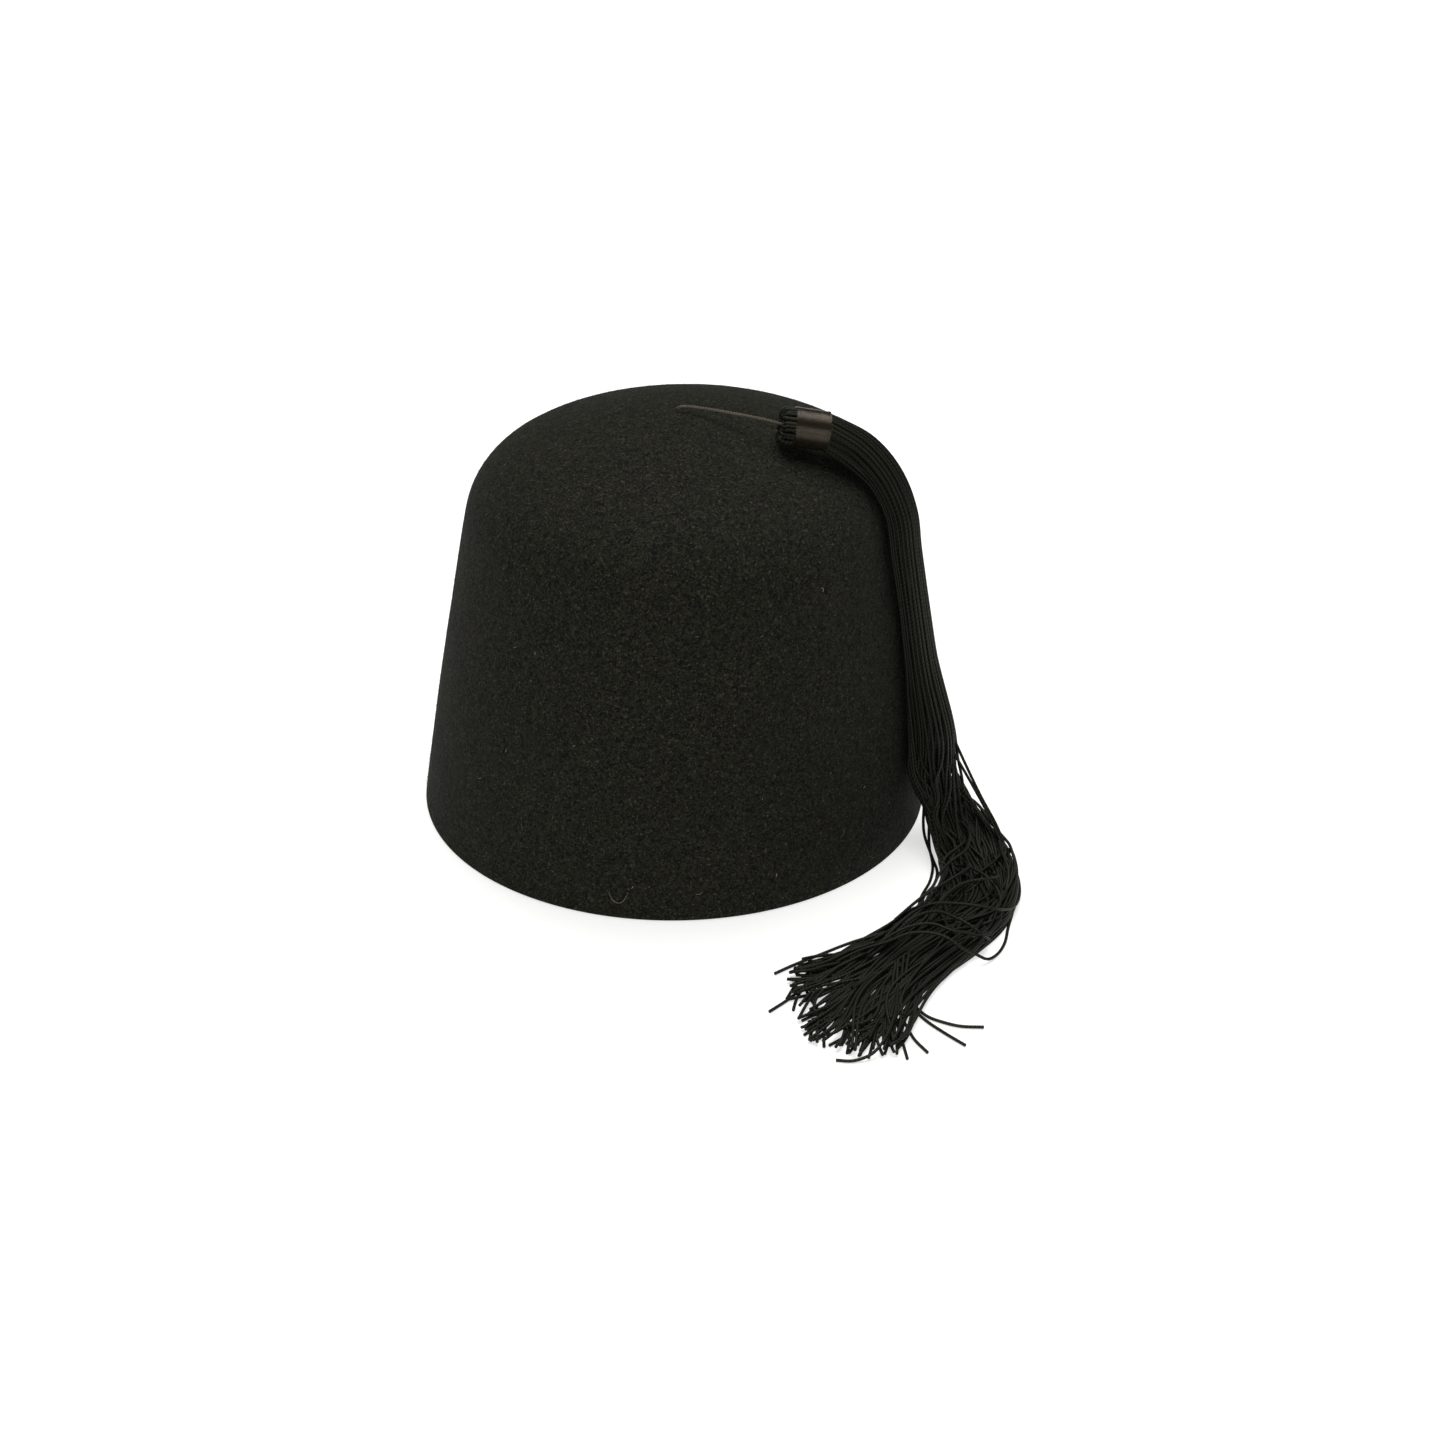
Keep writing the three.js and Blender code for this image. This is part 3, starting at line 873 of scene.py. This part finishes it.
def packSections(at, every):
    # Cords are discs in each section, pushed apart and kept inside the bundle's outline. They start on a
    # close grid, and each section starts from the one before it.
    rng = np.random.default_rng(skirt["seed"])
    count, size = skirt["cords"], skirt["diameter"]
    radius = size / 2
    grid = [(size * (i + 0.5 * (j % 2)), size * 0.88 * j) for i in range(-12, 13) for j in range(-12, 13)]
    grid = sorted(grid, key=lambda p: p[0] ** 2 + p[1] ** 2)[:count]
    spots = np.array(grid) + rng.normal(scale=0.12, size=(count, 2))
    inner = np.arange(count) < count - skirt["outerCords"]
    innerRoom = rng.uniform(*skirt["innerRoom"], count)
    outerRoom = rng.uniform(*skirt["outerRoom"], count)
    room = size * np.where(inner, innerRoom, outerRoom)
    needs = (room[:, None] + room[None]) / 2
    unlike = inner[:, None] != inner[None]
    around = np.arange(skirt["outerCords"]) + rng.uniform(-0.25, 0.25, skirt["outerCords"])
    around = 2 * math.pi * around / skirt["outerCords"]
    outerX, outerY = np.cos(around), np.sin(around)
    loose = np.clip((at - skirt["looseFrom"]) / (skirt["looseAll"] - skirt["looseFrom"]), 0, 1)
    phase = rng.uniform(0, 2 * math.pi, (3, count, 2))
    shortest, longest, steepness = (
        np.array([row[key] for row in wanderWaves])[:, None, None] for key in ("shortest", "longest", "slope")
    )
    wave = rng.uniform(shortest, longest, (3, count, 1))
    strength = rng.gamma(1.6, 0.75, (count, 1))
    track = []
    previous = None
    for k, row in enumerate(every):
        width, thickness, below = row[6], row[7], row[8]
        semi = np.array([max(width / 2 - radius, 1), max(thickness / 2 - radius, 0.6)])
        under = max(below - radius, 0.3)
        area = math.pi / 2 * semi[0] * (semi[1] + under)
        spread = min(math.sqrt(area / count) * 0.98, size * 1.5)
        if previous is not None:
            spots = spots * (semi / previous)
            slope = (np.cos(2 * math.pi * at[k] / wave + phase) * steepness).sum(0)
            spots = spots + slope * strength * skirt["sectionStep"] * (0.05 + 0.95 * loose[k]) * [1.0, 0.6]
        previous = semi
        depth = np.where(inner, skirt["innerDepth"] * (1 - loose[k]), 0)
        held = np.clip(1 - loose[k] / skirt["heldUntil"], 0, 1)
        rim = np.stack([outerX * semi[0], outerY * np.where(outerY > 0, semi[1], under)], axis=1)
        for _ in range(skirt["rounds"] if k else skirt["settling"]):
            spots[:, 1] -= skirt["sink"] * loose[k]
            between = spots[:, None] - spots[None]
            apart = np.linalg.norm(between, axis=2) + np.eye(count) * 99  # a cord doesn't push itself
            push = np.clip(needs - apart, 0, None) * skirt["push"]
            push = (push + np.clip(spread - apart, 0, None) * skirt["spread"]) / apart
            push = push * np.where(unlike, 1 - held, 1)
            spots = spots + (between * push[..., None]).sum(1)
            side = np.clip(np.abs(spots[:, 0]) / semi[0], 0, 1)
            top = semi[1] * np.sqrt(1 - side**2) + 0.25 - depth
            bottom = under * (1 - side**4) ** 0.25 - depth if loose[k] < 1 else np.full(count, under)
            across = np.clip(spots[:, 0], depth - semi[0], semi[0] - depth)
            upwards = np.clip(spots[:, 1], -bottom, np.maximum(top, -bottom))
            spots += skirt["pull"] * (np.stack([across, upwards], axis=1) - spots)
            spots[~inner] += held * (rim - spots[~inner])
        track.append(spots.copy())
    track = np.array(track)  # for each section and cord, how far across and how far up
    soft = np.array([1, 2, 3, 2, 1.0]) / 9  # the tracks are smoothed along the bundle
    padded = np.concatenate([track[:1], track[:1], track, track[-1:], track[-1:]])
    return sum(soft[i] * padded[i : i + len(track)] for i in range(5)), rng


def fanOut(line, share, heading, rng):
    # carries one cord on from its last point to its own cut end near the fan's edge
    edge = curveThrough(fanEdge, 12)
    spot = np.clip(share + rng.normal(scale=skirt["mix"]), 0, 1) * (len(edge) - 1)
    tip = np.array([np.interp(spot, np.arange(len(edge)), edge[:, k]) for k in (0, 1)])
    outwards = unit(tip - np.array(skirt["fanMiddle"]))
    tip = tip - outwards * (rng.gamma(1.5, skirt["pullBack"]) - skirt["reachOut"])
    start = line[-1][:2]
    came = unit(unit((line[-1] - line[-5])[:2]) * 0.4 + heading[:2])
    gap = np.linalg.norm(tip - start)
    lean = rng.normal(scale=skirt["tipLean"])
    goes = outwards * math.cos(lean) + np.array([-outwards[1], outwards[0]]) * math.sin(lean)
    low = skirt["diameter"] / 2
    rest = low + rng.uniform(0, 1) ** 2 * skirt["tipLift"]
    wave = rng.normal(scale=skirt["tipWave"])
    points = []
    for along in np.linspace(0, 1, skirt["fanRows"])[1:]:
        # a cubic from the bundle's heading to the tip's own
        a = along**2 * (3 - 2 * along)
        b = along * (1 - along) ** 2
        c = along**2 * (along - 1)
        place = start * (1 - a) + tip * a + came * gap * skirt["swing"] * b + goes * gap * c
        place = place + np.array([-goes[1], goes[0]]) * wave * math.sin(2 * math.pi * along) * along
        sink = line[-1][2] + (rest - line[-1][2]) * along**0.8
        points.append([place[0], place[1], max(sink, low)])
    return np.vstack([line, points])


def clearOf(points, tree, radius):
    # moves points that are nearer than radius to the felt or the surface back out
    searched = 12 * mm
    flat = points.reshape(-1, 3)
    for i, p in enumerate(flat):
        place, normal, _, _ = tree.find_nearest(Vector(p), searched)
        if place is None:
            continue
        depth = (Vector(p) - place).dot(normal)
        if depth < radius:
            flat[i] = Vector(p) + normal * (radius - depth)
    flat[:, 2] = np.maximum(flat[:, 2], radius)
    return flat.reshape(points.shape)


def feltTree():
    # only the outer face, so that what is near the rim is not pushed into the hollow
    runs = np.linspace(0, outlineWay[-1], 90)
    turns = np.linspace(0, 2 * math.pi, 181)[:-1]
    grid = feltPoints(runs[:, None], turns[None, :])
    index = np.arange(grid.shape[0] * grid.shape[1]).reshape(grid.shape[:2])
    right = np.roll(index, -1, axis=1)
    quads = np.stack([index[:-1], index[1:], right[1:], right[:-1]], axis=-1).reshape(-1, 4)
    return BVHTree.FromPolygons(grid.reshape(-1, 3).tolist(), quads.tolist())


# single cords that leave the bundle, each a route of x,y,z points in millimetres
strayRoutes = {
    "overTop": "106,-35,11 109,-46,12.8 107,-58,12.5 101,-66,12 97,-72,11 94,-79,9 90,-88,5",
    "overBend": "117,-62,5 118,-70,9 113,-77,12 107,-79,12 101,-84,12 96,-91,11 92,-99,7",
    "longArch": "112,-30,14 120,-42,6 126,-55,2.5 127,-66,2 125,-78,3 121,-87,6 115,-94,10.5 109,-95,12 "
    "101,-94,12 93,-94,11.5 86,-99,11 79,-107,9 73,-114,6",
    "lowArch": "113,-104,4 110,-107,8 106,-106,10.5 101,-103,11.5 94,-99,11.5 87,-101,10.5 81,-107,9 "
    "75,-114,6",
    "looseLoop": "118,-50,6 124,-64,2.5 124,-77,1 121,-91,0.6 119,-101,0.6 116,-108,0.6 112,-113,1.5 "
    "107,-115,5 102,-116,8 97,-114,10.5 91,-112,11 84,-112,10.5 76,-115,8.5 67,-117,6 58,-121,3",
    "wavyArch": "110,-104,5 105,-108,9 99,-110,11 92,-107,11.5 85,-108,11 77,-112,9 69,-118,5",
    "outerBow": "108,-26,18 116,-33,10 123,-45,3.5 127,-57,1.2 126.5,-69,1 122,-81,2 115,-88,4",
    "outerBowTwo": "104,-27,20 114,-32,12 122,-42,5.5 125.5,-54,3 126,-64,2 124,-76,2 117,-90,3",
    "cutEnd": "113,-98,5 110,-107,4.5 105,-113,2.5 99,-120,0.8 95,-126,0.6 91,-131,0.6",
    "edgeBow": "90,-22,60 99,-24,46 107,-27,31 113.5,-32,20 120,-39,11 124,-50,4.5 124,-60,3",
    "edgeBowTwo": "92,-26,52 101,-28,38 109.5,-31,25 117,-37,14 122,-47,6.5 122.5,-58,4",
    "sideTail": "84,-116,5 82.5,-126,3.5 82.5,-135,1 85,-142,0.6 89,-148,0.6 94,-151,0.6 100,-153,0.6 "
    "108,-153,0.6",
    "sideTailTwo": "82,-118,5 81,-128,3.5 81.5,-137,1 84,-143,0.6 88,-150,0.6 94,-157,0.6 101,-164,0.6",
    "lowTail": "80,-120,5 79,-134,3 79.5,-145,0.9 81.5,-154,0.6 84,-162,0.6 88,-169,0.6",
    "straightTail": "79,-122,5 77.5,-134,3 78,-148,1 79.5,-161,0.6 81,-173,0.6",
    "lyingAcross": "79,-138,4.5 77,-155,5 73,-168,4 69,-173,2 63,-175.5,0.7 57,-175.5,0.6",
    "leftHook": "72,-112,6 62,-116,4 54,-120,1.5 49,-125,0.6 47.5,-132,0.6 49,-140,0.6 52,-148,1",
    "innerBow": "93,-28,16 93,-38,7 96,-48,2 97.5,-56,0.8 95.5,-65,0.6 92,-72,0.6 90,-80,0.8 "
    "86,-90,2 79,-98,4",
    "innerBowTwo": "95,-30,14 95,-42,4 96,-52,1.2 94.5,-62,0.6 91,-72,0.6 88,-84,1 81,-95,2.5",
    "leftTail": "76,-104,5 64,-109,3.5 53,-114,1.2 44,-120,0.6 37,-126,0.6",
    "leftTailTwo": "72,-110,5 58,-118,3 49,-125,1 44,-133,0.6 41,-141,0.6",
    "leftTailThree": "70,-116,5 56,-126,2.5 47,-134,0.8 41,-142,0.6 35,-149,0.6",
    "crownTuft": "106,-58,8 107,-70,12.3 99,-80,12.4 90,-87,10 80,-94,4",
}


def buildStrays(radius):
    lines = []
    for route in strayRoutes.values():
        points = np.array([[float(v) for v in point.split(",")] for point in route.split()])
        lines.append(evenly(curveThrough(points * mm, 16), 64))
    lines = np.array(lines)
    lines[..., 2] = np.maximum(lines[..., 2], radius)
    rng = np.random.default_rng(len(lines))
    piece = newPiece("tassel_strays", tubeMesh("tassel_strays", lines, radius, 8, rng.random(len(lines))))
    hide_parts("tassel_skirt")
    return piece


def buildSkirt():
    at, every = skirtSections()
    track, rng = packSections(at, every)
    centre, facing = every[:, :3], unit(every[:, 3:6])
    along = unit(np.gradient(centre, axis=0))
    along[0] = headAxis
    across = unit(np.cross(along, facing))
    facing = np.cross(across, along)
    lines = centre[:, None] + track[..., :1] * across[:, None] + track[..., 1:] * facing[:, None]
    lines = lines.transpose(1, 0, 2)
    # each cord's place across the bundle, from its inner side, is its place along the fan's edge
    places = np.argsort(np.argsort(-track[-1, :, 0])) / (len(lines) - 1)
    heading = unit(centre[-1] - centre[-4])
    lines = [fanOut(line, share, heading, rng) for line, share in zip(lines, places)]
    tree = feltTree()
    radius = skirt["diameter"] / 2 * mm
    cords = np.array([evenly(line * mm, skirt["rows"]) for line in lines])
    cords = clearOf(cords, tree, radius)
    shades = rng.random(len(cords))
    pieces = [buildStrays(radius)]
    share = math.ceil(len(cords) / 3)
    for k in range(3):
        part = slice(k * share, (k + 1) * share)
        name = f"tassel_cords_{k + 1}"
        piece = newPiece(name, tubeMesh(name, cords[part], radius, 8, shades[part]))
        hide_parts("tassel_skirt")
        pieces.append(piece)
    return pieces


for piece in buildSkirt():
    piece.data.materials.append(knitWithGrooveShade)
print("skirt made")

# floor and light
studio = {
    "floorHalf": 20.0,
    "floorColour": "#c9c9c6",
    "floorGlow": 0.6,  # a pale surface lit from below
    "floorDrop": 0.05 * mm,
    "world": 0.03,
    "lamps": {  # place, aim, size and watts
        "overheadSoftbox": ((0.0, 0.43, 1.85), (0, 0, 0.1), (1.5, 1.5), 44),
        "frontSoftbox": ((-0.05, -1.5, 0.62), (0, 0, 0.08), (0.5, 0.35), 8.4),
    },
}


def buildFloor():  # opal acrylic: pale and dull, with an even glow
    bm = bmesh.new()
    bmesh.ops.create_grid(bm, x_segments=1, y_segments=1, size=studio["floorHalf"])
    mesh = bpy.data.meshes.new("floor")
    bm.to_mesh(mesh)
    bm.free()
    floor = bpy.data.objects.new("floor", mesh)
    floor.location.z = -studio["floorDrop"]
    bpy.context.scene.collection.objects.link(floor)
    constants = {
        "Base Color": studio["floorColour"],
        "Roughness": 0.9,
        "Specular IOR Level": 0.1,
        "Emission Color": (1, 1, 1, 1),
        "Emission Strength": studio["floorGlow"],
    }
    mesh.materials.append(newMaterial("opalAcrylicSheet", constants)[0])


def addLamp(name, place, aim, size, energy):
    data = bpy.data.lights.new(name, "AREA")
    data.shape = "RECTANGLE"
    data.size, data.size_y = size
    data.energy = energy
    lamp = bpy.data.objects.new(name, data)
    lamp.location = place
    lamp.rotation_euler = (Vector(aim) - Vector(place)).to_track_quat("-Z", "Y").to_euler()
    bpy.context.scene.collection.objects.link(lamp)


buildFloor()
for name, settings in studio["lamps"].items():
    addLamp(name, *settings)
world = bpy.data.worlds.new("paleRoom")
world.use_nodes = True
world.node_tree.nodes["Background"].inputs["Color"].default_value = (1, 1, 1, 1)
world.node_tree.nodes["Background"].inputs["Strength"].default_value = studio["world"]
bpy.context.scene.world = world
bpy.context.scene.view_settings.view_transform = "Standard"
print("studio made")
